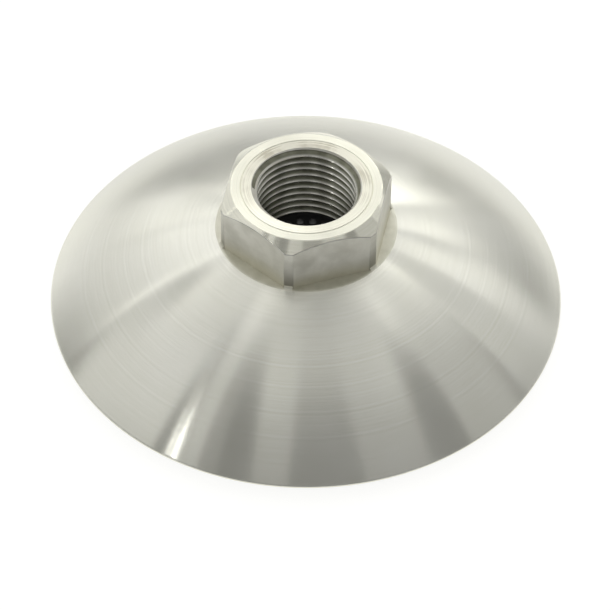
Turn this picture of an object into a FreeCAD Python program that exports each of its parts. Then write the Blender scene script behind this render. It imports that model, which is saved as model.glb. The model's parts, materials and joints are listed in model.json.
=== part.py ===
import FreeCAD, Part
import math
import os

import Sketcher

# Vacuum suction cup with a turned metal bell, in millimetres.
# The origin is the centre of the sealing plane, under the lip. +Z runs up the axis, out of the port.

SHEET = "Sizes"
OUTPUT = "parts"

DIMENSIONS = {
    # bell
    "rim_radius": 40.0,
    "rim_level": 2.5,
    "rim_edge": 0.3,
    "rim_land": 1.4,
    "dome_radius": 57.0,
    "boss_radius": 13.5,
    "boss_fillet": 0.5,
    "ledge_level": 17.5,
    "top_level": 26.0,
    "hex_flats": 24.0,
    "hex_turn": 18.7,
    "top_radius": 11.5,
    "chamfer_drop": 1.45,
    "face_line_radius": 10.05,
    "face_line_width": 0.2,
    "face_line_depth": 0.08,
    # port, G3/8
    "port_minor": 7.475,
    "port_major": 8.331,
    "port_mouth": 8.45,
    "thread_pitch": 1.337,
    "thread_root": 0.223,
    "thread_flank": 27.5,
    "thread_overlap": 0.075,
    "thread_start": 11.9,
    # inside of the bell
    "crown_level": 12.7,
    "chamber_top_radius": 20.0,
    "seat_inner": 22.5,
    "seat_outer": 33.5,
    "seat_level": 6.1,
    "seat_wall": 0.5,
    # strainer collar
    "collar_outer": 12.4,
    "collar_bore": 10.0,
    "collar_level": 9.5,
    "groove_bottom": 10.1,
    "groove_top": 11.2,
    "groove_radius": 10.5,
    # strainer and its ring
    "strainer_gap": 0.15,
    "strainer_hole": 0.6,
    "strainer_pitch": 1.9,
    "strainer_rings": 3,
    "ring_thickness": 1.0,
    "ring_clearance": 0.05,
    "ring_inner": 8.7,
    "ring_gap": 3.6,
    "ring_lug": 1.6,
    "ring_lug_hole": 0.75,
    # lip
    "flange_inner": 23.0,
    "flange_thickness": 1.5,
    "lip_root": 33.2,
    "lip_tip": 36.8,
    "lip_land": 1.3,
    "lip_edge": 0.5,
    "lip_edge_width": 0.3,
    "lip_outer_curve": 8.0,
    "lip_inner_curve": 7.0,
    "skirt_gap": 0.4,
    "skirt_shoulder": 0.4,
    "skirt_edge_width": 0.3,
    "skirt_edge_height": 0.6,
    # clamp ring
    "clamp_inner": 22.0,
    "clamp_outer": 31.0,
    "clamp_thickness": 2.0,
    "clamp_edge": 0.4,
    # screws, M3
    "screw_count": 6,
    "screw_circle": 26.5,
    "screw_radius": 1.5,
    "screw_length": 8.0,
    "screw_head": 2.75,
    "screw_sink": 0.2,
    "screw_socket": 2.0,
    "screw_socket_depth": 1.1,
    "screw_head_edge": 0.15,
    "screw_point": 0.4,
    "screw_clearance": 0.2,
    "tapped_clearance": 0.02,
    "tapped_extra": 0.4,
    # friction pads
    "pad_level": 2.0,
    "pad_inner": 23.0,
    "pad_outer": 30.0,
    "pad_recess": 0.4,
    "pad_half_angle": 18.5,
    "pad_gap": 0.1,
    "pad_gap_angle": 0.25,
    "pad_groove": 0.5,
    # how far a cutter runs past what it cuts
    "overcut": 1.0,
}


class Size:
    """A length with the spreadsheet expression that gives it."""

    def __init__(self, value, text):
        self.value = float(value)
        self.text = text

    def __add__(self, other):
        other = as_size(other)
        return Size(self.value + other.value, f"({self.text} + {other.text})")

    def __sub__(self, other):
        other = as_size(other)
        return Size(self.value - other.value, f"({self.text} - {other.text})")

    def __mul__(self, other):
        other = as_size(other)
        return Size(self.value * other.value, f"({self.text} * {other.text})")

    def __truediv__(self, other):
        other = as_size(other)
        return Size(self.value / other.value, f"({self.text} / {other.text})")

    def __neg__(self):
        return Size(-self.value, f"(0 - {self.text})")

    def root(self):
        return Size(math.sqrt(self.value), f"sqrt({self.text})")


def as_size(number):
    return number if isinstance(number, Size) else Size(number, repr(float(number)))


def cos_of(angle):
    """Cosine of an angle in degrees."""
    return Size(math.cos(math.radians(angle.value)), f"cos({angle.text} * 1 deg)")


def sin_of(angle):
    """Sine of an angle in degrees."""
    return Size(math.sin(math.radians(angle.value)), f"sin({angle.text} * 1 deg)")


def size(alias):
    """The named cell of the sheet."""
    return Size(DIMENSIONS[alias], f"{SHEET}.{alias}")


doc = FreeCAD.newDocument("SuctionCup")
sheet = doc.addObject("Spreadsheet::Sheet", SHEET)
for row, (alias, number) in enumerate(DIMENSIONS.items(), start=1):
    sheet.set(f"A{row}", alias)
    sheet.set(f"B{row}", str(number))
    sheet.setAlias(f"B{row}", alias)
doc.recompute()


def new_body(label):
    body = doc.addObject("PartDesign::Body", label)
    body.Label = label
    return body


def new_sketch(body, role, level=None, turn=None, shift=None):
    """A sketch on an origin plane of its body, raised to a level, turned in its plane or shifted in x."""
    sketch = body.newObject("Sketcher::SketchObject", "Sketch")
    plane = next(item for item in body.Origin.OriginFeatures if item.Role == role)
    sketch.AttachmentSupport = [(plane, "")]
    sketch.MapMode = "FlatFace"
    if level is not None:
        sketch.setExpression("AttachmentOffset.Base.z", as_size(level).text)
    if turn is not None:
        sketch.setExpression("AttachmentOffset.Rotation.Angle", as_size(turn).text)
    if shift is not None:
        sketch.setExpression("AttachmentOffset.Base.x", as_size(shift).text)
    return sketch


def bind(sketch, kind, *target):
    """Add a dimension whose last item is a Size, and tie it to the sheet."""
    *geometry, length = target
    index = sketch.addConstraint(Sketcher.Constraint(kind, *geometry, length.value))
    sketch.setExpression(f"Constraints[{index}]", length.text)


def place_point(sketch, edge, end, point):
    """Tie one end of an edge to its coordinates."""
    for kind, length in zip(("DistanceX", "DistanceY"), point):
        bind(sketch, kind, -1, 1, edge, end, as_size(length))


def arc_between(start, end, radius, side):
    """The arc of a radius from start to end. side +1 puts its centre left of the run, -1 right."""
    run = end - start
    half = run.Length / 2
    left = FreeCAD.Vector(-run.y, run.x, 0).normalize()
    centre = start + run * 0.5 + left * side * math.sqrt(radius * radius - half * half)
    first, last = (start, end) if side > 0 else (end, start)
    angles = [math.atan2(p.y - centre.y, p.x - centre.x) for p in (first, last)]
    circle = Part.Circle(centre, FreeCAD.Vector(0, 0, 1), radius)
    return Part.ArcOfCircle(circle, angles[0], angles[1])


def outline(sketch, points, arcs=None):
    """A closed outline through points. arcs maps an edge's index to its (radius, side)."""
    arcs = arcs or {}
    places = [FreeCAD.Vector(as_size(x).value, as_size(y).value, 0) for x, y in points]
    first_edge = sketch.GeometryCount
    count = len(points)
    ends = []
    for index in range(count):
        start = places[index]
        end = places[(index + 1) % count]
        if index in arcs:
            radius, side = arcs[index]
            sketch.addGeometry(arc_between(start, end, as_size(radius).value, side), False)
            ends.append((1, 2) if side > 0 else (2, 1))
        else:
            sketch.addGeometry(Part.LineSegment(start, end), False)
            ends.append((1, 2))
    for index in range(count):
        following = (index + 1) % count
        edges = (first_edge + index, ends[index][1], first_edge + following, ends[following][0])
        sketch.addConstraint(Sketcher.Constraint("Coincident", *edges))
    for index, point in enumerate(points):
        place_point(sketch, first_edge + index, ends[index][0], point)
    for index, (radius, side) in arcs.items():
        bind(sketch, "Radius", first_edge + index, as_size(radius))
    return sketch


def circle(sketch, centre, radius):
    """A circle whose centre and radius are tied to the sheet."""
    place = FreeCAD.Vector(as_size(centre[0]).value, as_size(centre[1]).value, 0)
    shape = Part.Circle(place, FreeCAD.Vector(0, 0, 1), as_size(radius).value)
    edge = sketch.addGeometry(shape, False)
    place_point(sketch, edge, 3, centre)
    bind(sketch, "Radius", edge, as_size(radius))
    return sketch


def centre_line(sketch, radius, low, high):
    """A construction line parallel to the axis, for a feature turned about it."""
    ends = [FreeCAD.Vector(radius.value, level.value, 0) for level in (low, high)]
    edge = sketch.addGeometry(Part.LineSegment(*ends), True)
    place_point(sketch, edge, 1, (radius, low))
    place_point(sketch, edge, 2, (radius, high))


def sector(sketch, inner, outer, half_angle):
    """A piece of a ring, centred on the sketch's x axis."""
    cosine, sine = cos_of(half_angle), sin_of(half_angle)
    outline(
        sketch,
        [
            (inner * cosine, -inner * sine),
            (outer * cosine, -outer * sine),
            (outer * cosine, outer * sine),
            (inner * cosine, inner * sine),
        ],
        arcs={1: (outer, 1), 3: (inner, -1)},
    )


def regular_hexagon(sketch, flats):
    """A hexagon about the sketch's origin with two corners on its x axis."""
    corner = flats / as_size(3).root()
    half = flats / 2
    outline(
        sketch,
        [
            (corner, 0),
            (corner / 2, half),
            (-corner / 2, half),
            (-corner, 0),
            (-corner / 2, -half),
            (corner / 2, -half),
        ],
    )


def revolve(body, kind, sketch, axis="V_Axis"):
    """Turn a sketch all round one of its axes, as a Revolution or a Groove."""
    feature = body.newObject(kind, "Turned")
    feature.Profile = sketch
    feature.ReferenceAxis = (sketch, [axis])
    feature.Angle = 360
    return feature


def extrude(body, kind, sketch, length, reverse=False):
    """Raise a sketch by a length as a Pad, or sink it as a Pocket."""
    feature = body.newObject(kind, "Cut" if kind.endswith("Pocket") else "Raised")
    feature.Profile = sketch
    feature.setExpression("Length", as_size(length).text)
    feature.Reversed = reverse
    return feature


def ring_pattern(body, feature, count):
    """Repeat one feature, or a list of them, round the body's Z axis."""
    pattern = body.newObject("PartDesign::PolarPattern", "Ring")
    pattern.Originals = feature if isinstance(feature, list) else [feature]
    axis = next(item for item in body.Origin.OriginFeatures if item.Role == "Z_Axis")
    pattern.Axis = (axis, [""])
    pattern.Angle = 360
    pattern.setExpression("Occurrences", count.text)
    body.Tip = pattern
    return pattern


rim_radius = size("rim_radius")
rim_level = size("rim_level")
dome_radius = size("dome_radius")
boss_radius = size("boss_radius")
top_level = size("top_level")
seat_level = size("seat_level")
clamp_top = seat_level - size("flange_thickness")
clamp_bottom = clamp_top - size("clamp_thickness")
screw_count = size("screw_count")
screw_circle = size("screw_circle")
screw_radius = size("screw_radius")
screw_bottom = clamp_bottom + size("screw_sink")
screw_top = screw_bottom + size("screw_length")
pad_turn = as_size(180) / screw_count
overcut = size("overcut")

# Height of the dome's centre, and of its surface at the boss.
dome_start = rim_level + size("rim_edge")
dome_centre = dome_start - (dome_radius * dome_radius - rim_radius * rim_radius).root()
boss_foot_radius = boss_radius + size("boss_fillet")
boss_foot_level = dome_centre + (dome_radius * dome_radius - boss_foot_radius * boss_foot_radius).root()

# Turned bell: domed skirt, boss, port and clamp seat in one outline.
cup_body = new_body("cup_body")
sketch = new_sketch(cup_body, "XZ_Plane")
port_minor = size("port_minor")
port_mouth = size("port_mouth")
crown_level = size("crown_level")
line_half = size("face_line_width") / 2
line_radius = size("face_line_radius")
outline(
    sketch,
    [
        (rim_radius, rim_level),
        (rim_radius, dome_start),
        (boss_foot_radius, boss_foot_level),
        (boss_radius, boss_foot_level + size("boss_fillet")),
        (boss_radius, top_level - size("chamfer_drop")),
        (size("top_radius"), top_level),
        (line_radius + line_half, top_level),
        (line_radius, top_level - size("face_line_depth")),
        (line_radius - line_half, top_level),
        (port_mouth, top_level),
        (port_minor, top_level - (port_mouth - port_minor)),
        (port_minor, crown_level),
        (size("collar_bore"), crown_level),
        (size("collar_bore"), size("groove_top")),
        (size("groove_radius"), size("groove_top")),
        (size("groove_radius"), size("groove_bottom")),
        (size("collar_bore"), size("groove_bottom")),
        (size("collar_bore"), size("collar_level")),
        (size("collar_outer"), size("collar_level")),
        (size("collar_outer"), crown_level),
        (size("chamber_top_radius"), crown_level),
        (size("seat_inner"), seat_level),
        (size("seat_outer"), seat_level),
        (size("seat_outer"), seat_level - size("seat_wall")),
        (rim_radius - size("rim_land"), rim_level),
    ],
    arcs={1: (dome_radius, 1), 2: (size("boss_fillet"), -1)},
)
revolve(cup_body, "PartDesign::Revolution", sketch)

# Six wrench flats milled down to the ledge.
sketch = new_sketch(cup_body, "XY_Plane", level=top_level, turn=size("hex_turn"))
regular_hexagon(sketch, size("hex_flats"))
circle(sketch, (0, 0), boss_radius + overcut)
extrude(cup_body, "PartDesign::Pocket", sketch, top_level - size("ledge_level"))

# Blind holes for the clamp screws.
sketch = new_sketch(cup_body, "XY_Plane", level=seat_level)
circle(sketch, (screw_circle, 0), screw_radius + size("tapped_clearance"))
hole_depth = screw_top + size("tapped_extra") - seat_level
hole = extrude(cup_body, "PartDesign::Pocket", sketch, hole_depth, reverse=True)
ring_pattern(cup_body, hole, screw_count)

# Parallel pipe thread, cut as one helical groove from under the crown to above the top face.
port_major = size("port_major")
flank = sin_of(size("thread_flank")) / cos_of(size("thread_flank"))
thread_inner = port_minor - size("thread_overlap")
root_half = size("thread_root") / 2
mouth_half = root_half + (port_major - thread_inner) * flank
thread_start = size("thread_start")
sketch = new_sketch(cup_body, "XZ_Plane")
outline(
    sketch,
    [
        (thread_inner, thread_start - mouth_half),
        (port_major, thread_start - root_half),
        (port_major, thread_start + root_half),
        (thread_inner, thread_start + mouth_half),
    ],
)
thread = cup_body.newObject("PartDesign::SubtractiveHelix", "Thread")
thread.Profile = sketch
thread.ReferenceAxis = (sketch, ["V_Axis"])
thread.Mode = 0
thread.setExpression("Pitch", size("thread_pitch").text)
thread.setExpression("Height", (top_level - thread_start + size("thread_pitch")).text)
thread.Angle = 0
thread.LeftHanded = False
doc.recompute()

# Moulded lip: a flat flange with a skirt that flares out under the rim.
sealing_lip = new_body("sealing_lip")
sketch = new_sketch(sealing_lip, "XZ_Plane")
lip_root = size("lip_root")
lip_tip = size("lip_tip")
lip_foot = lip_tip - size("lip_edge_width")
skirt_inner = size("clamp_outer") + size("skirt_gap")
outline(
    sketch,
    [
        (size("flange_inner"), seat_level),
        (lip_root, seat_level),
        (lip_root, clamp_top + size("skirt_shoulder")),
        (lip_tip, size("lip_edge")),
        (lip_foot, 0),
        (lip_foot - size("lip_land"), 0),
        (skirt_inner + size("skirt_edge_width"), clamp_top - size("skirt_edge_height")),
        (skirt_inner, clamp_top),
        (size("flange_inner"), clamp_top),
    ],
    arcs={2: (size("lip_outer_curve"), 1), 5: (size("lip_inner_curve"), -1)},
)
revolve(sealing_lip, "PartDesign::Revolution", sketch)
sketch = new_sketch(sealing_lip, "XY_Plane", level=clamp_top)
circle(sketch, (screw_circle, 0), screw_radius + size("screw_clearance"))
hole = extrude(sealing_lip, "PartDesign::Pocket", sketch, size("flange_thickness"), reverse=True)
ring_pattern(sealing_lip, hole, screw_count)
doc.recompute()

# Clamp ring: pad recesses and countersunk holes, alternating round the ring.
clamp_ring = new_body("clamp_ring")
sketch = new_sketch(clamp_ring, "XZ_Plane")
clamp_inner = size("clamp_inner")
clamp_outer = size("clamp_outer")
clamp_edge = size("clamp_edge")
outline(
    sketch,
    [
        (clamp_inner + clamp_edge, clamp_bottom),
        (clamp_outer - clamp_edge, clamp_bottom),
        (clamp_outer, clamp_bottom + clamp_edge),
        (clamp_outer, clamp_top),
        (clamp_inner, clamp_top),
        (clamp_inner, clamp_bottom + clamp_edge),
    ],
)
revolve(clamp_ring, "PartDesign::Revolution", sketch)
hole_radius = screw_radius + size("screw_clearance")
sink_radius = size("screw_head") + size("screw_sink") + size("screw_clearance")
sketch = new_sketch(clamp_ring, "XZ_Plane")
outline(
    sketch,
    [
        (screw_circle, clamp_bottom - overcut),
        (screw_circle + sink_radius, clamp_bottom - overcut),
        (screw_circle + sink_radius, clamp_bottom),
        (screw_circle + hole_radius, clamp_bottom + (sink_radius - hole_radius)),
        (screw_circle + hole_radius, clamp_top + overcut),
        (screw_circle, clamp_top + overcut),
    ],
)
centre_line(sketch, screw_circle, clamp_bottom, clamp_top)
hole = revolve(clamp_ring, "PartDesign::Groove", sketch, axis="Axis0")
ring_pattern(clamp_ring, hole, screw_count)
pad_gap = size("pad_gap")
recess_level = clamp_bottom + size("pad_recess")
sketch = new_sketch(clamp_ring, "XY_Plane", level=clamp_bottom, turn=pad_turn)
recess_angle = size("pad_half_angle") + size("pad_gap_angle")
sector(sketch, size("pad_inner") - pad_gap, size("pad_outer") + pad_gap, recess_angle)
recess = extrude(clamp_ring, "PartDesign::Pocket", sketch, size("pad_recess"), reverse=True)
ring_pattern(clamp_ring, recess, screw_count)
doc.recompute()

# Six countersunk screws with hexagon sockets, kept together as one group.
clamp_screws = new_body("clamp_screws")
clamp_screws.AllowCompound = True
sketch = new_sketch(clamp_screws, "XZ_Plane")
screw_head = size("screw_head")
head_edge = size("screw_head_edge")
screw_point = size("screw_point")
cone_top = screw_bottom + head_edge + (screw_head - screw_radius)
outline(
    sketch,
    [
        (screw_circle, screw_bottom),
        (screw_circle + screw_head, screw_bottom),
        (screw_circle + screw_head, screw_bottom + head_edge),
        (screw_circle + screw_radius, cone_top),
        (screw_circle + screw_radius, screw_top - screw_point),
        (screw_circle + screw_radius - screw_point, screw_top),
        (screw_circle, screw_top),
    ],
)
centre_line(sketch, screw_circle, screw_bottom, screw_top)
shank = revolve(clamp_screws, "PartDesign::Revolution", sketch, axis="Axis0")
sketch = new_sketch(clamp_screws, "XY_Plane", level=screw_bottom, shift=screw_circle)
regular_hexagon(sketch, size("screw_socket"))
socket = extrude(clamp_screws, "PartDesign::Pocket", sketch, size("screw_socket_depth"), reverse=True)
ring_pattern(clamp_screws, [shank, socket], screw_count)
doc.recompute()

# Friction pads, bonded into the recesses, with two grip grooves each.
pad_count = int(screw_count.value)
pad_level = size("pad_level")
groove_half = size("pad_groove") / 2
groove_step = (size("pad_outer") - size("pad_inner")) / 3
for number in range(pad_count):
    pad = new_body(f"friction_pad_{number + 1}")
    sketch = new_sketch(pad, "XY_Plane", level=pad_level)
    sector(sketch, size("pad_inner"), size("pad_outer"), size("pad_half_angle"))
    extrude(pad, "PartDesign::Pad", sketch, recess_level - pad_level)
    sketch = new_sketch(pad, "XZ_Plane")
    for step in (1, 2):
        middle = size("pad_inner") + groove_step * step
        outline(
            sketch,
            [
                (middle - groove_half, pad_level),
                (middle + groove_half, pad_level),
                (middle, pad_level + groove_half),
            ],
        )
    revolve(pad, "PartDesign::Groove", sketch)
    turn = pad_turn.value + number * 360 / pad_count
    pad.Placement = FreeCAD.Placement(FreeCAD.Vector(), FreeCAD.Rotation(FreeCAD.Vector(0, 0, 1), turn))
doc.recompute()

# Strainer: a moulded disc with rings of holes round a centre hole.
strainer = new_body("strainer")
sketch = new_sketch(strainer, "XY_Plane", level=size("groove_top"))
circle(sketch, (0, 0), size("collar_bore") - size("strainer_gap"))
strainer_thickness = crown_level - size("groove_top")
extrude(strainer, "PartDesign::Pad", sketch, strainer_thickness)
sketch = new_sketch(strainer, "XY_Plane", level=crown_level)
circle(sketch, (0, 0), size("strainer_hole"))
extrude(strainer, "PartDesign::Pocket", sketch, strainer_thickness)
for ring in range(1, int(size("strainer_rings").value) + 1):
    sketch = new_sketch(strainer, "XY_Plane", level=crown_level)
    circle(sketch, (size("strainer_pitch") * ring, 0), size("strainer_hole"))
    hole = extrude(strainer, "PartDesign::Pocket", sketch, strainer_thickness)
    ring_pattern(strainer, hole, as_size(6 * ring))
doc.recompute()

# Internal retaining ring under the strainer, open on the -Y side with two lugs.
strainer_ring = new_body("strainer_ring")
ring_level = size("groove_top") - size("ring_thickness")
ring_outer = size("groove_radius") - size("ring_clearance")
ring_inner = size("ring_inner")
sketch = new_sketch(strainer_ring, "XY_Plane", level=ring_level)
circle(sketch, (0, 0), ring_outer)
circle(sketch, (0, 0), ring_inner)
extrude(strainer_ring, "PartDesign::Pad", sketch, size("ring_thickness"))
sketch = new_sketch(strainer_ring, "XY_Plane", level=ring_level + size("ring_thickness"))
gap_half = size("ring_gap") / 2
outline(
    sketch,
    [
        (-gap_half, -(ring_outer + overcut)),
        (gap_half, -(ring_outer + overcut)),
        (gap_half, -(ring_inner - overcut)),
        (-gap_half, -(ring_inner - overcut)),
    ],
)
extrude(strainer_ring, "PartDesign::Pocket", sketch, size("ring_thickness"))
lug = size("ring_lug")
lug_x = gap_half + lug
lug_y = -(ring_inner - size("ring_lug_hole"))
for side in (1, -1):
    sketch = new_sketch(strainer_ring, "XY_Plane", level=ring_level)
    circle(sketch, (lug_x * side, lug_y), lug)
    extrude(strainer_ring, "PartDesign::Pad", sketch, size("ring_thickness"))
    sketch = new_sketch(strainer_ring, "XY_Plane", level=ring_level + size("ring_thickness"))
    circle(sketch, (lug_x * side, lug_y), size("ring_lug_hole"))
    extrude(strainer_ring, "PartDesign::Pocket", sketch, size("ring_thickness"))
doc.recompute()

# Every object must have recomputed and every body must be a sound solid before anything is written.
failed = [item.Name for item in doc.Objects if {"Invalid", "Error"} & set(item.State)]
if failed:
    raise RuntimeError("not recomputed: " + ", ".join(failed))
bodies = [item for item in doc.Objects if item.TypeId == "PartDesign::Body"]
for body in bodies:
    if body.Shape.isNull() or not body.Shape.isValid() or not body.Shape.Solids:
        raise RuntimeError("unsound shape: " + body.Label)

os.makedirs(OUTPUT, exist_ok=True)
for body in bodies:
    body.Shape.exportStep(os.path.join(OUTPUT, body.Label + ".step"))
    print(f"{body.Label}: {len(body.Shape.Solids)} solid(s), {body.Shape.Volume:.1f} mm3")
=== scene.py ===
import json
import math

import bmesh
import bpy
from mathutils import Matrix, Vector


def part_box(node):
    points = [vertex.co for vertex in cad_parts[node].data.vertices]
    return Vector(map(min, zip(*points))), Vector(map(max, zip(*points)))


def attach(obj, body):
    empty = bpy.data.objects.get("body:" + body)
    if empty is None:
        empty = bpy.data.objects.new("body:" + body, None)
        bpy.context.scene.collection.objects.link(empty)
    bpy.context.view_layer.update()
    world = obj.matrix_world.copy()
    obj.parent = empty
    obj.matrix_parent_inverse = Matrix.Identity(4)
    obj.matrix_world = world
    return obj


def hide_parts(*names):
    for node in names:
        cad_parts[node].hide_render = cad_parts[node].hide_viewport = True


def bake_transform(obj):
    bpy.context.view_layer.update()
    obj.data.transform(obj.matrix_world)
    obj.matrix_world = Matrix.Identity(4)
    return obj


# A vacuum suction cup that stands rim down on a white table, in metres.
# The origin is the centre of the sealing plane and +Z runs up out of the port. The camera is on the -Y side.

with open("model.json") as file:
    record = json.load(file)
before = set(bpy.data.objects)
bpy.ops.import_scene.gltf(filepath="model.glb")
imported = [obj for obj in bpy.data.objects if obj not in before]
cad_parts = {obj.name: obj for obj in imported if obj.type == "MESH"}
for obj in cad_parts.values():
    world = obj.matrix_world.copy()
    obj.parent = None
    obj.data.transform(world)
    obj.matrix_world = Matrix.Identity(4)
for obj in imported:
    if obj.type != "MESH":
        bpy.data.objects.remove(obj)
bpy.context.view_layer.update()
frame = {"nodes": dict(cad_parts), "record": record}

MM = 0.001
TURN = math.tau

# ------------------------------------------------------------------ sizes

BELL_LOW, BELL_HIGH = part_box("cup_body")
LIP_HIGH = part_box("sealing_lip")[1]
CLAMP_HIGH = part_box("clamp_ring")[1]
STRAINER_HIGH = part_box("strainer")[1]
PORT = next(mount for mount in frame["record"]["mounts"] if mount["name"] == "port")

RIM_R = -BELL_LOW.x
RIM_Z = BELL_LOW.z
TOP_Z = BELL_HIGH.z
SEAT_Z = LIP_HIGH.z
CROWN_Z = STRAINER_HIGH.z

# outside of the bell
RIM_EDGE = 0.3 * MM
RIM_LAND = 1.4 * MM
DOME_R = 57.0 * MM
BOSS_R = 13.5 * MM
FILLET = 0.5 * MM
LEDGE_Z = TOP_Z - 8.5 * MM
HEX_HALF = 12.0 * MM
HEX_CORNER = math.radians(18.7)
HEX_SIDES = 6
HEX_STEP = TURN / HEX_SIDES
TOP_R = 11.5 * MM
CHAMFER_DROP = 1.45 * MM
LINE_R = 10.05 * MM
LINE_HALF = 0.10 * MM
LINE_DEPTH = 0.08 * MM
BEVEL = 0.06 * MM
DOME_ROWS = 60
FOOT_TURNS = (38, 60, 75, 90)
FLAT_ROWS = 4
BELL_STEPS = 360
BESIDE_CORNER = math.radians(0.25)

# port thread
PORT_R = PORT["dims"]["r_mm"] * MM
MOUTH_R = 8.45 * MM
THREAD_DEPTH = 0.856 * MM
PITCH = 1.337 * MM
THREAD_FIRST_Z = 11.9 * MM
THREAD_EASE = 0.06 * MM

# inside of the bell
COLLAR_BORE = 10.0 * MM
COLLAR_R = 12.4 * MM
COLLAR_Z = 9.5 * MM
GROOVE_R = 10.5 * MM
GROOVE_LOW = 10.1 * MM
GROOVE_HIGH = 11.2 * MM
CHAMBER_R = 20.0 * MM
SEAT_INNER = 22.5 * MM
SEAT_OUTER = 33.5 * MM
SEAT_WALL = 0.5 * MM

# lip
FLANGE_INNER = 23.0 * MM
FLANGE_Z = CLAMP_HIGH.z
LIP_ROOT = 33.2 * MM
LIP_TIP = LIP_HIGH.x
LIP_EDGE = 0.5 * MM
LIP_LAND = 1.3 * MM
SKIRT_INNER = CLAMP_HIGH.x + 0.4 * MM
LIP_LAND_EDGE = 0.3 * MM
LIP_SHOULDER = 0.4 * MM
LIP_OUTER_CURVE = 8.0 * MM
LIP_INNER_CURVE = 7.0 * MM
SKIRT_EDGE_WIDTH = 0.3 * MM
SKIRT_EDGE_HEIGHT = 0.6 * MM
LAND_RIB = 0.12 * MM
LIP_SOFT = 0.15 * MM
LIP_STEPS = 240
SOFT_CORNER = math.radians(12)
SCREW_COUNT = 6
SCREW_CIRCLE = 26.5 * MM
LIP_HOLE = 1.7 * MM
HOLE_SIDES = 32
DRILL_MARGIN = 1.0 * MM

# friction pads
PAD_LOW, PAD_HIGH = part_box("friction_pad_1")
PAD_INNER = 23.0 * MM
PAD_OUTER = 30.0 * MM
PAD_HALF_ANGLE = math.radians(18.5)
PAD_GROOVE = 0.25 * MM
PAD_SOFT = 0.12 * MM
PAD_STEPS = 36

# An edge that turns by more than this many degrees stays crisp.
METAL_CREASE = 29.0
RUBBER_CREASE = 40.0
WELD_DISTANCE = 0.001 * MM


# ------------------------------------------------------------------ mesh helpers

def spread(start, end, count):
    """count values from start towards end, without the end."""
    return [start + (end - start) * step / count for step in range(count)]


def mesh_object(name, vertices, faces):
    mesh = bpy.data.meshes.new(name)
    mesh.from_pydata(vertices, [], faces)
    piece = bpy.data.objects.new(name, mesh)
    bpy.context.scene.collection.objects.link(piece)
    return piece


def turned_shape(name, angles, profile):
    """A closed surface from one closed profile per angle.

    profile(angle) gives rows of (radius, height, region).
    """
    vertices = []
    faces = []
    regions = []
    columns = [profile(angle) for angle in angles]
    rows = len(columns[0])
    for angle, column in zip(angles, columns):
        vertices += [(r * math.cos(angle), r * math.sin(angle), z) for r, z, region in column]
    for i in range(len(angles) - 1):
        for j in range(rows):
            above = (j + 1) % rows
            faces.append((i * rows + j, (i + 1) * rows + j, (i + 1) * rows + above, i * rows + above))
            regions.append(columns[i][j][2])
    piece = mesh_object(name, vertices, faces)
    for face, region in zip(piece.data.polygons, regions):
        face.material_index = region
        face.use_smooth = True
    return piece


def weld(piece):
    """Close the seam and drop faces of no area."""
    grid = bmesh.new()
    grid.from_mesh(piece.data)
    bmesh.ops.remove_doubles(grid, verts=grid.verts, dist=WELD_DISTANCE)
    bmesh.ops.dissolve_degenerate(grid, edges=grid.edges, dist=WELD_DISTANCE)
    bmesh.ops.recalc_face_normals(grid, faces=grid.faces)
    grid.to_mesh(piece.data)
    grid.free()


def finish_mesh(piece, crease=METAL_CREASE):
    """Weld the mesh and keep the edges that turn by more than the crease crisp."""
    weld(piece)
    piece.data.set_sharp_from_angle(angle=math.radians(crease))
    normals = piece.modifiers.new("Normals", "WEIGHTED_NORMAL")
    normals.keep_sharp = True
    return piece


# ------------------------------------------------------------------ bell shape

DOME, LEDGE, FLAT, CHAMFER, FACE, MOUTH, THREAD, INSIDE = range(8)
DOME_START_Z = RIM_Z + RIM_EDGE
DOME_CENTRE_Z = DOME_START_Z - math.sqrt(DOME_R ** 2 - RIM_R ** 2)
FOOT_R = BOSS_R + FILLET


def dome_z(radius):
    return DOME_CENTRE_Z + math.sqrt(DOME_R ** 2 - radius ** 2)


def hub_radius(angle):
    """Distance from the axis to the hexagon, with its corners turned down to the boss."""
    from_flat = (angle - HEX_CORNER) % HEX_STEP - HEX_STEP / 2
    return min(BOSS_R, HEX_HALF / math.cos(from_flat))


def chamfer_z(radius):
    return TOP_Z - (radius - TOP_R) * CHAMFER_DROP / (BOSS_R - TOP_R)


def rim_and_dome():
    rows = [
        (RIM_R - BEVEL, RIM_Z),
        (RIM_R, RIM_Z + BEVEL),
        (RIM_R, DOME_START_Z - BEVEL),
        (RIM_R - BEVEL, dome_z(RIM_R - BEVEL)),
    ]
    rows += [(r, dome_z(r)) for r in spread(RIM_R - 4 * BEVEL, FOOT_R, DOME_ROWS)]
    return rows


def foot(on_flat):
    """The small radius where the dome meets the boss. The flats' cutter trims it down to the ledge."""
    rows = []
    dome_slope = math.asin(FOOT_R / DOME_R)
    start_z = dome_z(FOOT_R)
    run = 1 - math.sin(dome_slope)
    for turn in [dome_slope] + [math.radians(degrees) for degrees in FOOT_TURNS]:
        radius = FOOT_R - FILLET * (math.sin(turn) - math.sin(dome_slope)) / run
        height = start_z + FILLET * (math.cos(dome_slope) - math.cos(turn)) / math.cos(dome_slope)
        if on_flat:
            height = min(height, LEDGE_Z)
        rows.append((radius, height))
    return rows


def hub_side(radius, on_flat, foot_z):
    base_z = LEDGE_Z if on_flat else foot_z
    edge_z = chamfer_z(radius)
    rows = [(radius + (BEVEL / 2 if on_flat else 0), base_z), (radius, base_z + BEVEL)]
    rows += [(radius, z) for z in spread(base_z + 2 * BEVEL, edge_z - 2 * BEVEL, FLAT_ROWS)]
    rows += [(radius, edge_z - 2 * BEVEL), (radius, edge_z - BEVEL)]
    return rows


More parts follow.
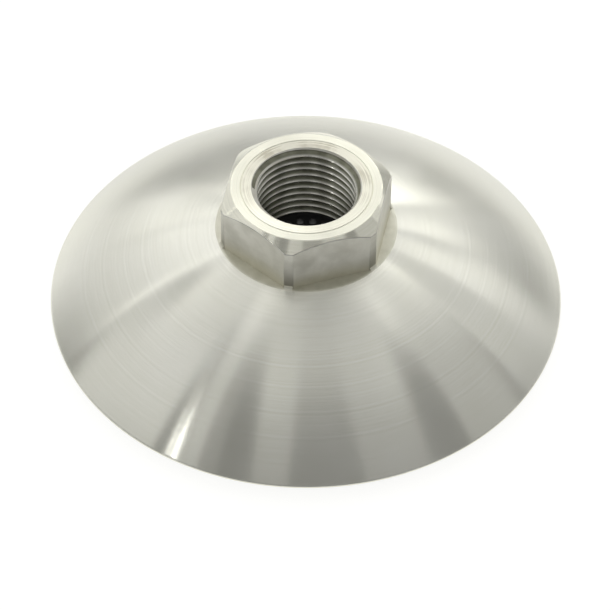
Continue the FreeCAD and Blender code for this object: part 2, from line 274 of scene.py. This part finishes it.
def hub_top(radius):
    chamfer_radii = (radius - BEVEL, radius - 2 * BEVEL, TOP_R + 2 * BEVEL, TOP_R + BEVEL)
    chamfer = [(r, chamfer_z(r)) for r in chamfer_radii]
    face = [
        (TOP_R - BEVEL, TOP_Z),
        (TOP_R - 2 * BEVEL, TOP_Z),
        (LINE_R + LINE_HALF, TOP_Z),
        (LINE_R, TOP_Z - LINE_DEPTH),
        (LINE_R - LINE_HALF, TOP_Z),
        (MOUTH_R + 2 * BEVEL, TOP_Z),
        (MOUTH_R + BEVEL, TOP_Z),
    ]
    return chamfer, face


def thread_profile():
    """One pitch from groove to groove, as (share of the pitch, depth below the crest): rounded V grooves."""
    return [
        (-0.45, 0.0),
        (-0.385, THREAD_EASE),
        (-0.09, THREAD_DEPTH - THREAD_EASE),
        (-0.04, THREAD_DEPTH),
        (0.04, THREAD_DEPTH),
        (0.09, THREAD_DEPTH - THREAD_EASE),
        (0.385, THREAD_EASE),
        (0.45, 0.0),
    ]


def thread_depth(turns):
    """Depth below the crest, so many pitches above the middle of a groove."""
    share = (turns + 0.5) % 1 - 0.5
    points = thread_profile()
    for (low, low_depth), (high, high_depth) in zip(points, points[1:]):
        if low <= share <= high:
            return low_depth + (high_depth - low_depth) * (share - low) / (high - low)
    return 0.0


def port_thread(angle):
    """Rows that follow the right-handed helix from the crown up to the mouth, cut off by the mouth's cone."""
    rows = []
    crown_depth = thread_depth((CROWN_Z - THREAD_FIRST_Z) / PITCH - angle / TURN)
    turns = math.ceil((TOP_Z - THREAD_FIRST_Z) / PITCH) + 2
    for turn in range(-1, turns):
        for share, depth in thread_profile():
            height = THREAD_FIRST_Z + PITCH * (angle / TURN + turn + share)
            if height < CROWN_Z:
                depth = crown_depth
            height = min(max(height, CROWN_Z), TOP_Z)
            cone = MOUTH_R - (TOP_Z - height)
            thread = PORT_R + depth
            rows.append((max(thread, cone), height, MOUTH if cone > thread else THREAD))
    rows.reverse()
    return rows


def chamber():
    """Down the strainer's collar, round its groove, across the crown and out to the seat and the rim."""
    return [
        (COLLAR_BORE, CROWN_Z),
        (COLLAR_BORE, GROOVE_HIGH),
        (GROOVE_R, GROOVE_HIGH),
        (GROOVE_R, GROOVE_LOW),
        (COLLAR_BORE, GROOVE_LOW),
        (COLLAR_BORE, COLLAR_Z + BEVEL),
        (COLLAR_BORE + BEVEL, COLLAR_Z),
        (COLLAR_R - BEVEL, COLLAR_Z),
        (COLLAR_R, COLLAR_Z + BEVEL),
        (COLLAR_R, CROWN_Z - 4 * BEVEL),
        (COLLAR_R + 4 * BEVEL, CROWN_Z),
        (CHAMBER_R - 2 * BEVEL, CROWN_Z),
        (CHAMBER_R + BEVEL, CROWN_Z - 2 * BEVEL),
        (SEAT_INNER - BEVEL, SEAT_Z + 2 * BEVEL),
        (SEAT_INNER + BEVEL, SEAT_Z),
        (SEAT_OUTER, SEAT_Z),
        (SEAT_OUTER, SEAT_Z - SEAT_WALL + BEVEL),
        (SEAT_OUTER + BEVEL, SEAT_Z - SEAT_WALL),
        (RIM_R - RIM_LAND - BEVEL, RIM_Z + BEVEL / 2),
        (RIM_R - RIM_LAND + BEVEL, RIM_Z),
    ]


def bell_profile(angle):
    """The bell's whole section at one angle, from the rim over the top and back inside to the rim."""
    hub_r = hub_radius(angle)
    on_flat = hub_r < BOSS_R - BEVEL / 100
    foot_rows = foot(on_flat)
    chamfer_rows, face_rows = hub_top(hub_r)
    outside = [
        (DOME, rim_and_dome()),
        # The foot takes the ledge's darker finish, a painted dark reflection of the corners.
        (LEDGE, foot_rows),
        (FLAT, hub_side(hub_r, on_flat, foot_rows[-1][1])),
        (CHAMFER, chamfer_rows),
        (FACE, face_rows),
    ]
    rows = [(r, z, region) for region, stretch in outside for r, z in stretch]
    return rows + port_thread(angle) + [(r, z, INSIDE) for r, z in chamber()]


def bell_angles():
    """Even steps, with more where the hexagon's corners are turned off."""
    half_corner = HEX_STEP / 2 - math.acos(HEX_HALF / BOSS_R)
    angles = spread(0, TURN, BELL_STEPS) + [TURN]
    for corner in range(HEX_SIDES):
        middle = HEX_CORNER + HEX_STEP * corner
        for edge in (middle - half_corner, middle + half_corner):
            angles += [edge - BESIDE_CORNER, edge, edge + BESIDE_CORNER]
    return sorted(angles)


# ------------------------------------------------------------------ lip and pad shapes

def arc(start, end, radius, side, count):
    """count points of an arc from start towards end. side +1 puts its centre left of the run, -1 right."""
    start = Vector(start)
    end = Vector(end)
    run = end - start
    left = Vector((-run.y, run.x)).normalized()
    centre = (start + end) / 2 + left * side * math.sqrt(radius ** 2 - run.length_squared / 4)
    first = math.atan2(start.y - centre.y, start.x - centre.x)
    swing = side * 2 * math.asin(run.length / 2 / radius)
    return [(centre.x + radius * math.cos(a), centre.y + radius * math.sin(a))
            for a in spread(first, first + swing, count)]


def softened(points, radius=LIP_SOFT, steps=3):
    """A closed outline with every real corner rounded off."""
    rounded = []
    count = len(points)
    for i, point in enumerate(points):
        here = Vector(point)
        before = Vector(points[i - 1]) - here
        after = Vector(points[(i + 1) % count]) - here
        if math.pi - before.angle(after) < SOFT_CORNER:
            rounded.append(tuple(here))
            continue
        reach = min(radius, before.length * 0.45, after.length * 0.45)
        first = here + before.normalized() * reach
        last = here + after.normalized() * reach
        for step in range(steps + 1):
            t = step / steps
            rounded.append(tuple(first * (1 - t) ** 2 + here * 2 * t * (1 - t) + last * t ** 2))
    return rounded


def lip_outline():
    """Flange, flared skirt, and a sealing land with two fine ribs."""
    land_outer = LIP_TIP - LIP_LAND_EDGE
    land_inner = land_outer - LIP_LAND
    third = LIP_LAND / 3
    skirt_top = (SKIRT_INNER + SKIRT_EDGE_WIDTH, FLANGE_Z - SKIRT_EDGE_HEIGHT)
    outer = arc((LIP_ROOT, FLANGE_Z + LIP_SHOULDER), (LIP_TIP, LIP_EDGE), LIP_OUTER_CURVE, 1, 16)
    inner = arc((land_inner, 0), skirt_top, LIP_INNER_CURVE, -1, 14)
    land = []
    for groove in (1, 2):
        middle = land_outer - third * groove
        land += [(middle + LAND_RIB, 0), (middle, LAND_RIB), (middle - LAND_RIB, 0)]
    points = [(FLANGE_INNER, SEAT_Z), (LIP_ROOT, SEAT_Z)]
    points += outer + [(LIP_TIP, LIP_EDGE), (land_outer, 0)] + land + inner
    points += [skirt_top, (SKIRT_INNER, FLANGE_Z), (FLANGE_INNER, FLANGE_Z)]
    return softened(points)


def cut_holes(piece, radius, circle, low, high):
    """Cut round holes through a ring, where the clamp screws pass."""
    drill = bmesh.new()
    for number in range(SCREW_COUNT):
        angle = TURN * number / SCREW_COUNT
        centre = Vector((circle * math.cos(angle), circle * math.sin(angle), (low + high) / 2))
        bmesh.ops.create_cone(drill, cap_ends=True, segments=HOLE_SIDES, radius1=radius, radius2=radius,
                              depth=high - low, matrix=Matrix.Translation(centre))
    cutter = mesh_object("cutter", [], [])
    drill.to_mesh(cutter.data)
    drill.free()
    cut = piece.modifiers.new("Holes", "BOOLEAN")
    cut.operation = "DIFFERENCE"
    cut.solver = "EXACT"
    cut.object = cutter
    apply_modifiers(piece)
    bpy.data.objects.remove(cutter)


def apply_modifiers(piece):
    evaluated = piece.evaluated_get(bpy.context.evaluated_depsgraph_get())
    shape = bpy.data.meshes.new_from_object(evaluated)
    piece.modifiers.clear()
    piece.data = shape


def pad_section():
    """The pad's section across its width: bonded face, sides, and a grip face with two grooves."""
    step = (PAD_OUTER - PAD_INNER) / 3
    grip = []
    for groove in (1, 2):
        middle = PAD_INNER + step * groove
        grip += [
            (middle - PAD_GROOVE, PAD_LOW.z),
            (middle, PAD_LOW.z + PAD_GROOVE),
            (middle + PAD_GROOVE, PAD_LOW.z),
        ]
    bonded = [(PAD_OUTER, PAD_HIGH.z), (PAD_INNER, PAD_HIGH.z), (PAD_INNER, PAD_LOW.z)]
    return bonded + grip + [(PAD_OUTER, PAD_LOW.z)]


def pad_shape(name, middle_angle):
    """A curved bar with its long edges rounded and flat ends."""
    section = softened(pad_section(), PAD_SOFT, 2)
    turns = spread(-PAD_HALF_ANGLE, PAD_HALF_ANGLE, PAD_STEPS) + [PAD_HALF_ANGLE]
    angles = [middle_angle + turn for turn in turns]
    rows = len(section)
    vertices = [(r * math.cos(a), r * math.sin(a), z) for a in angles for r, z in section]
    faces = []
    for i in range(len(angles) - 1):
        for j in range(rows):
            after = (j + 1) % rows
            faces.append((i * rows + j, i * rows + after, (i + 1) * rows + after, (i + 1) * rows + j))
    last = (len(angles) - 1) * rows
    faces.append(tuple(range(rows)))
    faces.append(tuple(last + j for j in reversed(range(rows))))
    pad = mesh_object(name, vertices, faces)
    pad.data.shade_smooth()
    finish_mesh(pad, RUBBER_CREASE)
    return pad


# ------------------------------------------------------------------ material helpers

class Nodes:
    """Builds one material's nodes in short calls."""

    def __init__(self, name, colour, roughness, metallic=0.0):
        self.material = bpy.data.materials.new(name)
        self.material.use_nodes = True
        self.tree = self.material.node_tree
        self.shader = self.tree.nodes["Principled BSDF"]
        self.shader.inputs["Base Color"].default_value = (*colour, 1)
        self.shader.inputs["Roughness"].default_value = roughness
        self.shader.inputs["Metallic"].default_value = metallic
        self.place = self.tree.nodes.new("ShaderNodeTexCoord").outputs["Object"]

    def link(self, source, target):
        if isinstance(source, bpy.types.NodeSocket):
            self.tree.links.new(source, target)
        else:
            target.default_value = source

    def math(self, operation, *values):
        node = self.tree.nodes.new("ShaderNodeMath")
        node.operation = operation
        for value, socket in zip(values, node.inputs):
            self.link(value, socket)
        return node.outputs[0]

    def stretch(self, factors):
        """The object's coordinates, each multiplied by its factor."""
        node = self.tree.nodes.new("ShaderNodeVectorMath")
        node.operation = "MULTIPLY"
        self.link(self.place, node.inputs[0])
        node.inputs[1].default_value = factors
        return node.outputs[0]

    def axes(self):
        node = self.tree.nodes.new("ShaderNodeSeparateXYZ")
        self.link(self.place, node.inputs[0])
        return node.outputs

    def radius(self):
        """Distance from the cup's axis, in millimetres."""
        x, y, z = self.axes()
        square = self.math("ADD", self.math("MULTIPLY", x, x), self.math("MULTIPLY", y, y))
        return self.math("DIVIDE", self.math("SQRT", square), MM)

    def noise(self, size_mm, detail=2.0, vector=None, along=None):
        """Smooth noise from 0 to 1. along gives one coordinate in millimetres instead of a place."""
        node = self.tree.nodes.new("ShaderNodeTexNoise")
        node.inputs["Detail"].default_value = detail
        if along is not None:
            node.noise_dimensions = "1D"
            self.link(along, node.inputs["W"])
            node.inputs["Scale"].default_value = 1 / size_mm
        else:
            self.link(vector or self.place, node.inputs["Vector"])
            node.inputs["Scale"].default_value = 1 / (size_mm * MM)
        return node.outputs["Fac"]

    def fit(self, value, from_low, from_high, to_low=0.0, to_high=1.0):
        node = self.tree.nodes.new("ShaderNodeMapRange")
        self.link(value, node.inputs["Value"])
        self.link(from_low, node.inputs["From Min"])
        self.link(from_high, node.inputs["From Max"])
        self.link(to_low, node.inputs["To Min"])
        self.link(to_high, node.inputs["To Max"])
        return node.outputs[0]

    def mix(self, share, first, second):
        """first where share is 0 and second where it is 1."""
        node = self.tree.nodes.new("ShaderNodeMix")
        node.data_type = "RGBA"
        self.link(share, node.inputs["Factor"])
        self.link(first if isinstance(first, bpy.types.NodeSocket) else (*first, 1), node.inputs["A"])
        self.link(second if isinstance(second, bpy.types.NodeSocket) else (*second, 1), node.inputs["B"])
        return node.outputs["Result"]

    def bump(self, height, depth_mm, normal=None):
        node = self.tree.nodes.new("ShaderNodeBump")
        node.inputs["Strength"].default_value = 1.0
        node.inputs["Distance"].default_value = depth_mm * MM
        self.link(height, node.inputs["Height"])
        if normal is not None:
            self.link(normal, node.inputs["Normal"])
        return node.outputs[0]

    def set(self, **sockets):
        for name, source in sockets.items():
            self.link(source, self.shader.inputs[name.replace("_", " ").title()])

    def brush_round(self, amount):
        """Highlights stretched across the turning marks, which run round the axis."""
        self.shader.inputs["Anisotropic"].default_value = amount
        self.shader.inputs["Anisotropic Rotation"].default_value = 0.25
        tangent = self.tree.nodes.new("ShaderNodeTangent")
        tangent.direction_type = "RADIAL"
        tangent.axis = "Z"
        self.link(tangent.outputs["Tangent"], self.shader.inputs["Tangent"])


# ------------------------------------------------------------------ materials
# Noise sizes and bump depths are in millimetres.

METAL = (0.85, 0.845, 0.765)
METAL_DULL = (0.79, 0.785, 0.69)
CREAM = (0.96, 0.95, 0.82)
FACED = (0.95, 0.94, 0.80)
FACE_DIP = 0.10


def turned_dome():
    """Fine-turned aluminium: rings too fine to count, a few coarser ones, faint clouding."""
    m = Nodes("turned_aluminium", METAL, 0.215, 1.0)
    m.brush_round(1.0)
    radius = m.radius()
    fine = m.noise(0.35, 2.0, along=radius)
    broad = m.noise(2.2, 1.0, along=radius)
    cloud = m.noise(14.0, 3.0)
    shade = m.math("ADD", m.math("MULTIPLY", fine, 0.35), m.math("MULTIPLY", cloud, 0.65))
    m.set(base_color=m.mix(m.fit(shade, 0.35, 0.65), METAL_DULL, METAL))
    m.set(roughness=m.fit(cloud, 0.3, 0.7, 0.20, 0.23))
    rings = m.math("ADD", fine, broad)
    m.set(normal=m.bump(rings, 0.005))
    return m.material


def milled_flat():
    """Milled wrench flats, duller than the dome, warm and darker near the ledge. The turned corner bands are
    painted dark low down, a painted dark reflection.
    """
    m = Nodes("milled_aluminium", (0.74, 0.73, 0.67), 0.33, 1.0)
    x, y, z = m.axes()
    height = m.math("DIVIDE", z, MM)
    ledge = LEDGE_Z / MM
    corner = BOSS_R / MM
    cloud = m.noise(3.0, 3.0)
    marks = m.noise(0.5, 2.0, vector=m.stretch((1, 1, 6)))
    near_ledge = m.fit(m.math("ADD", height, cloud), ledge, ledge + 3.6, 1.0, 0.0)
    body = m.mix(m.fit(cloud, 0.35, 0.65), (0.71, 0.70, 0.64), (0.83, 0.82, 0.76))
    low = m.mix(m.math("MULTIPLY", near_ledge, 0.7), body, (0.62, 0.59, 0.47))
    # Painted reflection: the dark band mirrored by the turned corners is painted into their colour, strongest
    # near the ledge.
    on_corner = m.fit(m.radius(), corner - 0.10, corner - 0.02)
    low_down = m.fit(height, ledge + 1.0, ledge + 6.0, 0.55, 0.0)
    corner_shade = m.math("MULTIPLY", on_corner, low_down)
    m.set(base_color=m.mix(corner_shade, low, (0.20, 0.19, 0.16)))
    m.set(roughness=m.fit(cloud, 0.3, 0.7, 0.30, 0.40))
    m.set(normal=m.bump(marks, 0.010))
    return m.material


def milled_ledge():
    """The small ledge under the flats and the foot beside it: cutter marks and a darker tan colour, which on
    the foot is a painted dark reflection of the corner edges.
    """
    m = Nodes("milled_ledge", (0.55, 0.53, 0.43), 0.45, 1.0)
    cloud = m.noise(1.6, 4.0)
    m.set(base_color=m.mix(m.fit(cloud, 0.3, 0.7), (0.66, 0.65, 0.54), (0.75, 0.74, 0.63)))
    m.set(normal=m.bump(cloud, 0.02))
    return m.material


def turned_chamfer():
    """The chamfer was turned with a sharper tool than the dome and mirrors more clearly."""
    m = Nodes("turned_chamfer", CREAM, 0.17, 1.0)
    m.brush_round(1.0)
    rings = m.noise(0.25, 2.0, along=m.radius())
    m.set(base_color=m.mix(m.fit(rings, 0.3, 0.7), (0.90, 0.89, 0.76), CREAM))
    m.set(normal=m.bump(rings, 0.002))
    return m.material


def faced_top():
    """The faced ring. Inside the scribed line it dips a little and carries darker mottled marks, blended in
    more towards the far side, where they are a painted dark reflection.
    """
    m = Nodes("faced_aluminium", FACED, 0.30, 1.0)
    m.brush_round(0.8)
    radius = m.radius()
    rings = m.noise(0.22, 2.0, along=radius)
    cloud = m.noise(4.0, 3.0)
    x, y, z = m.axes()
    line = LINE_R / MM
    # Painted reflection: the mottled darker colour inside the line grows towards the far side (+Y).
    inside_line = m.fit(radius, line - 0.25, line, 1.0, 0.0)
    far_side_shade = m.fit(y, -6 * MM, 5 * MM, 0.25, 1.0)
    marks = m.math("ADD", m.math("MULTIPLY", cloud, 0.6), m.math("MULTIPLY", rings, 0.4))
    mottle = m.fit(marks, 0.43, 0.55)
    plain = m.mix(m.fit(rings, 0.3, 0.7), (0.87, 0.86, 0.73), FACED)
    marks_and_shade = m.mix(mottle, (0.58, 0.55, 0.44), (0.88, 0.86, 0.73))
    m.set(base_color=m.mix(m.math("MULTIPLY", inside_line, far_side_shade), plain, marks_and_shade))
    m.set(roughness=m.fit(cloud, 0.3, 0.7, 0.27, 0.36))
    dip = m.fit(radius, MOUTH_R / MM, line, -1.0, 0.0)
    m.set(normal=m.bump(dip, FACE_DIP, m.bump(rings, 0.010)))
    return m.material


def mouth_cone():
    """The countersink at the port's mouth."""
    m = Nodes("countersunk_aluminium", (0.90, 0.88, 0.80), 0.55, 0.4)
    patches = m.fit(m.noise(1.8, 3.0), 0.38, 0.62)
    m.set(base_color=m.mix(patches, (0.86, 0.83, 0.72), (0.98, 0.97, 0.88)))
    return m.material


def cut_thread():
    """The thread: bright crests over grooves painted darker with depth, as painted shade in the grooves."""
    m = Nodes("threaded_aluminium", (0.7, 0.69, 0.62), 0.25, 1.0)
    m.brush_round(0.9)
    # Painted shade: the colour darkens from the crest into the groove, in uneven patches.
    depth = m.math("SUBTRACT", m.radius(), PORT_R / MM)
    patchy = m.fit(m.noise(2.5, 3.0), 0.35, 0.65)
    groove = m.mix(patchy, (0.20, 0.20, 0.145), (0.38, 0.38, 0.29))
    m.set(base_color=m.mix(m.fit(depth, 0.02, 0.40), (0.88, 0.87, 0.80), groove))
    m.set(roughness=m.fit(depth, 0.05, 0.2, 0.20, 0.42))
    return m.material


def turned_inside():
    """The chamber under the bell, turned more coarsely."""
    m = Nodes("turned_chamber", (0.72, 0.71, 0.67), 0.34, 1.0)
    m.brush_round(0.8)
    rings = m.noise(0.5, 2.0, along=m.radius())
    m.set(base_color=m.mix(m.fit(rings, 0.3, 0.7), (0.66, 0.65, 0.61), (0.76, 0.75, 0.71)))
    m.set(normal=m.bump(rings, 0.02))
    return m.material


def rubber(name, colour, pale):
    """Moulded rubber: a fine grain and a dusty bloom."""
    m = Nodes(name, colour, 0.55)
    grain = m.noise(0.12, 2.0)
    bloom = m.noise(6.0, 4.0)
    m.set(base_color=m.mix(m.fit(bloom, 0.4, 0.75), colour, pale))
    m.set(roughness=m.fit(bloom, 0.3, 0.7, 0.48, 0.66))
    m.set(normal=m.bump(grain, 0.02))
    return m.material


def turned_steel():
    m = Nodes("turned_steel", (0.58, 0.58, 0.57), 0.3, 1.0)
    m.brush_round(0.8)
    rings = m.noise(0.3, 2.0, along=m.radius())
    m.set(base_color=m.mix(m.fit(rings, 0.3, 0.7), (0.52, 0.52, 0.51), (0.64, 0.64, 0.63)))
    m.set(normal=m.bump(rings, 0.01))
    return m.material


def plain_steel(name, dark, bright):
    """Screws and spring ring: rolled and tumbled steel with small scuffs."""
    m = Nodes(name, bright, 0.36, 1.0)
    scuff = m.noise(0.8, 4.0)
    m.set(base_color=m.mix(m.fit(scuff, 0.35, 0.65), dark, bright))
    m.set(roughness=m.fit(scuff, 0.3, 0.7, 0.28, 0.45))
    m.set(normal=m.bump(m.noise(0.15, 2.0), 0.008))
    return m.material


# Black moulded nylon. Its near-black colour also paints the shade at the bottom of the port, where the
# strainer shows.
def black_nylon_and_shade():
    m = Nodes("black_nylon_and_shade", (0.018, 0.018, 0.018), 0.5)
    grain = m.noise(0.2, 2.0)
    m.set(roughness=m.fit(m.noise(3.0, 2.0), 0.3, 0.7, 0.42, 0.6))
    m.set(base_color=m.mix(grain, (0.014, 0.014, 0.014), (0.026, 0.026, 0.025)))
    m.set(normal=m.bump(grain, 0.015))
    return m.material


def table_top():
    """A white table that glows as a painted pool of light, brightest around the cup, so that hardly any
    shadow shows on it.
    """
    m = Nodes("white_table", (0.25, 0.25, 0.245), 0.9)
    distance = m.math("MULTIPLY", m.radius(), MM)
    # Painted light: the glow and the colour both fall off between the two distances.
    far = m.fit(distance, TABLE_LIT, TABLE_DIM)
    grain = m.mix(m.noise(60.0, 2.0), (0.24, 0.24, 0.235), (0.27, 0.27, 0.265))
    m.set(base_color=m.mix(far, grain, (0.20, 0.20, 0.195)))
    m.set(emission_color=m.mix(far, (1.0, 1.0, 0.985), (0.12, 0.12, 0.12)))
    m.shader.inputs["Emission Strength"].default_value = TABLE_GLOW
    return m.material


# ------------------------------------------------------------------ pieces

def make_bell():
    bell = finish_mesh(turned_shape("bell", bell_angles(), bell_profile))
    finishes = {
        DOME: turned_dome(),
        LEDGE: milled_ledge(),
        FLAT: milled_flat(),
        CHAMFER: turned_chamfer(),
        FACE: faced_top(),
        MOUTH: mouth_cone(),
        THREAD: cut_thread(),
        INSIDE: turned_inside(),
    }
    for region in sorted(finishes):
        bell.data.materials.append(finishes[region])
    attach(bell, "cup")
    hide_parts("cup_body")


def make_lip():
    """The flange is clamped to the bell, and the skirt under it carries the sealing edge."""
    outline = [(r, z, 0) for r, z in lip_outline()]
    lip = turned_shape("lip", spread(0, TURN, LIP_STEPS) + [TURN], lambda angle: outline)
    weld(lip)
    cut_holes(lip, LIP_HOLE, SCREW_CIRCLE, FLANGE_Z - DRILL_MARGIN, SEAT_Z + DRILL_MARGIN)
    finish_mesh(lip, RUBBER_CREASE)
    lip.data.materials.append(rubber("lip_rubber", (0.018, 0.018, 0.018), (0.040, 0.039, 0.037)))
    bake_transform(lip)
    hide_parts("sealing_lip")


def make_pads():
    material = rubber("pad_rubber", (0.030, 0.030, 0.030), (0.060, 0.058, 0.055))
    for number in range(SCREW_COUNT):
        pad = pad_shape(f"pad_{number + 1}", TURN * (number + 0.5) / SCREW_COUNT)
        pad.data.materials.append(material)
        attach(pad, "cup")
        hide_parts(f"friction_pad_{number + 1}")


def give(node, material):
    """A CAD node keeps its shape and gets a finish."""
    piece = frame["nodes"][node]
    piece.data.materials.clear()
    piece.data.materials.append(material)


def finish_nodes():
    give("clamp_ring", turned_steel())
    give("clamp_screws", plain_steel("screw_steel", (0.45, 0.45, 0.46), (0.60, 0.60, 0.60)))
    give("strainer_ring", plain_steel("spring_steel", (0.10, 0.10, 0.11), (0.20, 0.20, 0.21)))
    give("strainer", black_nylon_and_shade())


# ------------------------------------------------------------------ stage, camera and light

# The table's painted glow, a pool of light, fades from the first to the second distance around the cup.
TABLE_GLOW = 0.89
TABLE_LIT = 90 * MM
TABLE_DIM = 400 * MM

CAMERA_ELEVATION = math.radians(46.89)
CAMERA_DISTANCE = 494.8 * MM
CAMERA_ROLL = math.radians(0.4)
TO_CAMERA = Vector((0, -math.cos(CAMERA_ELEVATION), math.sin(CAMERA_ELEVATION)))
CAMERA_LENS = 185.1
CAMERA_SENSOR = 36.0
CAMERA_SHIFT = -0.0013
CAMERA_TARGET = Vector((0, 0, -0.37 * MM))

FLOOR_HALF = 3.0
LIGHT_DISTANCE = 1.1
WORLD_LEVEL = 0.24

# Each box is placed by the part of the bell that mirrors it to the camera:
# name, azimuths and tilts of that part in degrees, radiance.
SOFT_BOXES = [
    ("lamp_left", (-31.9, -31.3), (43, 48), 6.3),
    ("lamp_right", (-30.3, -29.6), (43, 48), 12.0),
    ("lamp_glow_near", (-29, -24), (25, 50), 0.38),
    ("lamp_glow_far", (-24, -19.5), (25, 50), 0.10),
    ("front_left", (-12.5, -3), (28, 50), 0.17),
    ("front_right", (12.5, 30), (30, 50), 0.14),
    ("ceiling_front", (-26, 42), (15, 33), 0.39),
    ("ceiling_left", (-66, -10), (8, 24), 0.66),
    ("ceiling_right", (28, 62), (8, 26), 0.60),
    ("left_wall", (-68, -33), (24, 52), 0.49),
    ("right_wall_near", (39, 58), (24, 52), 0.23),
    ("right_wall", (58, 84), (24, 46), 0.40),
    ("right_middle", (72, 96), (14, 35), 0.40),
    ("right_upper", (54, 88), (6, 24), 0.56),
    ("left_upper", (-104, -62), (6, 24), 0.86),
    ("left_side", (-112, -65), (22, 43), 0.51),
    ("right_side", (90, 108), (24, 34), 0.24),
    ("left_back", (-128, -98), (8, 28), 0.53),
    ("right_back", (88, 130), (8, 26), 0.72),
    ("right_back_high", (112, 154), (5, 19), 1.20),
    ("back_left", (-164, -118), (4, 15), 0.66),
    ("back_right", (140, 168), (4, 16), 0.36),
    ("back", (-194, -160), (2, 16), 0.20),
    ("back_high", (60, 300), (-3, 11), 1.00),
]


def make_floor():
    h = FLOOR_HALF
    floor = mesh_object("floor", [(-h, -h, 0), (h, -h, 0), (h, h, 0), (-h, h, 0)], [(0, 1, 2, 3)])
    floor.data.materials.append(table_top())


def make_camera():
    """In front of the cup and 47 degrees above the table, with a long lens."""
    data = bpy.data.cameras.new("camera")
    camera = bpy.data.objects.new("camera", data)
    bpy.context.scene.collection.objects.link(camera)
    turned = TO_CAMERA.to_track_quat("Z", "Y").to_matrix() @ Matrix.Rotation(CAMERA_ROLL, 3, "Z")
    camera.matrix_world = Matrix.Translation(CAMERA_TARGET + TO_CAMERA * CAMERA_DISTANCE) @ turned.to_4x4()
    data.sensor_width = CAMERA_SENSOR
    data.lens = CAMERA_LENS
    data.shift_x = CAMERA_SHIFT
    bpy.context.scene.camera = camera


def mirrored(azimuth, tilt):
    """Where the camera's ray goes from a surface that leans by tilt towards azimuth.

    Azimuth 0 is the camera's side and 90 is the right, both in degrees.
    """
    a = math.radians(azimuth)
    t = math.radians(tilt)
    normal = Vector((math.sin(t) * math.sin(a), -math.sin(t) * math.cos(a), math.cos(t)))
    return 2 * normal.dot(TO_CAMERA) * normal - TO_CAMERA


def make_light(name, azimuths, tilts, radiance):
    """A soft box that the bell reflects between two azimuths and two tilts of its surface."""
    azimuth = sum(azimuths) / 2
    tilt = sum(tilts) / 2
    away = mirrored(azimuth, tilt)
    across = mirrored(azimuths[1], tilt) - mirrored(azimuths[0], tilt)
    up = mirrored(azimuth, tilts[0]) - mirrored(azimuth, tilts[1])
    side = across.normalized()
    back = away.normalized()
    side = (side - back * side.dot(back)).normalized()
    data = bpy.data.lights.new(name, "AREA")
    data.shape = "RECTANGLE"
    data.size = across.length * LIGHT_DISTANCE
    data.size_y = up.length * LIGHT_DISTANCE
    data.energy = math.pi * data.size * data.size_y * radiance
    light = bpy.data.objects.new(name, data)
    bpy.context.scene.collection.objects.link(light)
    rotation = Matrix((side, back.cross(side), back)).transposed()
    light.matrix_world = Matrix.Translation(back * LIGHT_DISTANCE) @ rotation.to_4x4()
    light.visible_camera = False


def make_world():
    world = bpy.data.worlds.new("world")
    world.use_nodes = True
    background = world.node_tree.nodes["Background"]
    background.inputs["Color"].default_value = (1, 1, 1, 1)
    background.inputs["Strength"].default_value = WORLD_LEVEL
    bpy.context.scene.world = world


def make_lights():
    for name, azimuths, tilts, radiance in SOFT_BOXES:
        make_light(name, azimuths, tilts, radiance)


make_camera()
make_bell()
make_lip()
make_pads()
finish_nodes()
make_floor()
make_world()
make_lights()
bpy.context.scene.view_settings.view_transform = "Standard"
